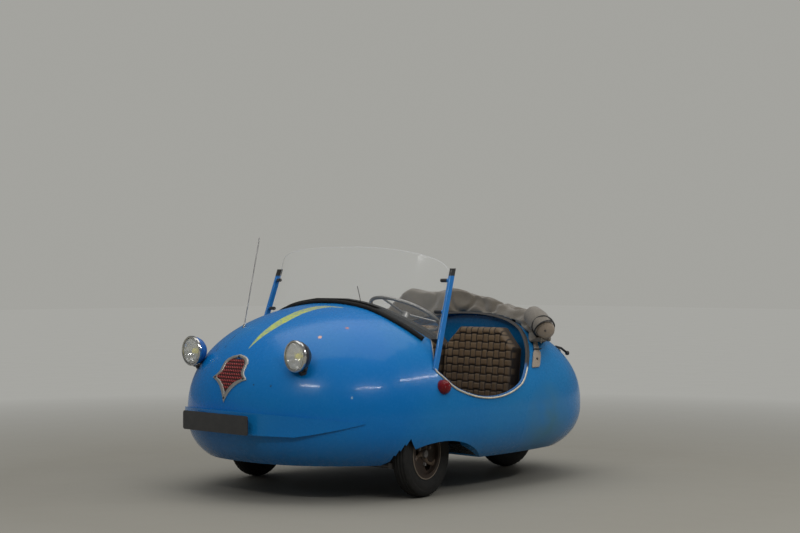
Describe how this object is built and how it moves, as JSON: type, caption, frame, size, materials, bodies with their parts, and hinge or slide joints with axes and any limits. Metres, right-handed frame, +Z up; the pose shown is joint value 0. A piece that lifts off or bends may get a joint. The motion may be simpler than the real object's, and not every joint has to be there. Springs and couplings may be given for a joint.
{
  "type": "three-wheeled bubble car",
  "caption": "Small open microcar with an egg-shaped body, two steered front wheels, one rear wheel, bench cushion, clear windscreen and a rear engine lid",
  "frame": {"origin": "on the floor under the middle of the car's outline", "axes": "+X forward, +Y to the car's left, +Z up; the front wheels rest turned 13 degrees to the left"},
  "size_m": [2.248, 1.498, 1.2225],
  "materials": {
    "blue_shell": "aged gloss",
    "blue_metal": "satin",
    "piping": "satin",
    "black_rubber": "matte",
    "clear_sheet": "clear",
    "polished_metal": "polished",
    "red_mesh": "satin",
    "black_paint": "satin",
    "plate": "gloss",
    "canvas": "woven",
    "strap": "woven",
    "vinyl": "grained",
    "seat_panel": "satin",
    "lamp_lens": "clear",
    "amber_lens": "translucent",
    "red_lens": "translucent",
    "rusty_wheel": "worn",
    "tyre": "matte",
    "steel": "satin",
    "engine_alloy": "matte"
  },
  "bodies": {
    "body": {"body_upper": "blue_shell", "body_lower": "blue_shell", "cockpit_trim": "piping", "bulkhead": "blue_shell", "bumper": "blue_shell", "grille_frame": "polished_metal", "grille_mesh": "red_mesh", "windscreen": "clear_sheet", "windscreen_rubber": "black_rubber", "hood_roll": "canvas", "aerial": "polished_metal", "rear_frame": "black_paint", "rear_fork": "black_paint", "silencer": "steel", "steering_column": "black_paint", "screen_post_left": "blue_metal", "screen_post_right": "blue_metal", "hood_strap_left": "strap", "hood_strap_right": "strap", "side_lamp_left": "red_lens", "side_lamp_right": "red_lens", "front_axle": "black_paint", "steering_box": "black_paint", "headlamp_bowl_left": "polished_metal", "headlamp_bowl_right": "polished_metal", "headlamp_lens_left": "lamp_lens", "headlamp_lens_right": "lamp_lens", "number_plate": "plate", "seat_box": "seat_panel", "seat_back_left": "vinyl", "seat_back_right": "vinyl", "seat_cushion": "vinyl", "floor_rails": "black_paint", "engine": "engine_alloy"},
    "lid": {"engine_lid": "blue_shell"},
    "knuckle_left": {"knuckle_left": "steel"},
    "knuckle_right": {"knuckle_right": "steel"},
    "front_wheel_left": {"tyre_left": "tyre", "wheel_left": "rusty_wheel"},
    "front_wheel_right": {"tyre_right": "tyre", "wheel_right": "rusty_wheel"},
    "rear_wheel": {"tyre_rear": "tyre", "wheel_rear": "rusty_wheel"},
    "track_rod": {"track_rod": "steel"},
    "steering_wheel": {"steering_wheel": "polished_metal"}
  },
  "joints": [
    {"name": "lid_hinge", "type": "hinge", "parent": "body", "child": "lid", "pos_m": [-0.7375, 0, 0.79022], "axis": [0, 1, 0], "range_deg": [0, 65]},
    {"name": "steering", "type": "hinge", "parent": "body", "child": "steering_wheel", "pos_m": [0.153, 0.264, 0.848], "axis": [-0.4613, 0, 0.8872], "range_deg": [-232, 24]},
    {"name": "kingpin_left_turn", "type": "hinge", "parent": "body", "child": "knuckle_left", "pos_m": [0.379, 0.517, 0.205], "axis": [0, 0, 1], "range_deg": [-29.05, 3.05]},
    {"name": "kingpin_right_turn", "type": "hinge", "parent": "body", "child": "knuckle_right", "pos_m": [0.379, -0.517, 0.205], "axis": [0, 0, 1], "range_deg": [-29.05, 3.05]},
    {"name": "track_rod_slide", "type": "slide", "parent": "body", "child": "track_rod", "axis": [0, 1, 0], "range_m": [-0.0705, 0.0075]},
    {"name": "front_wheel_left_spin", "type": "hinge", "parent": "knuckle_left", "child": "front_wheel_left", "pos_m": [0.36213, 0.59008, 0.203], "axis": [-0.225, 0.9744, 0], "continuous": true},
    {"name": "front_wheel_right_spin", "type": "hinge", "parent": "knuckle_right", "child": "front_wheel_right", "pos_m": [0.39587, -0.59008, 0.203], "axis": [-0.225, 0.9744, 0], "continuous": true},
    {"name": "rear_wheel_spin", "type": "hinge", "parent": "body", "child": "rear_wheel", "pos_m": [-0.861, 0, 0.203], "axis": [0, 1, 0], "continuous": true}
  ],
  "couplings": [
    {"joint": "kingpin_left_turn", "follows": "steering", "ratio": 0.125},
    {"joint": "kingpin_right_turn", "follows": "steering", "ratio": 0.125},
    {"joint": "track_rod_slide", "follows": "steering", "m_per_rad": 0.01731}
  ]
}
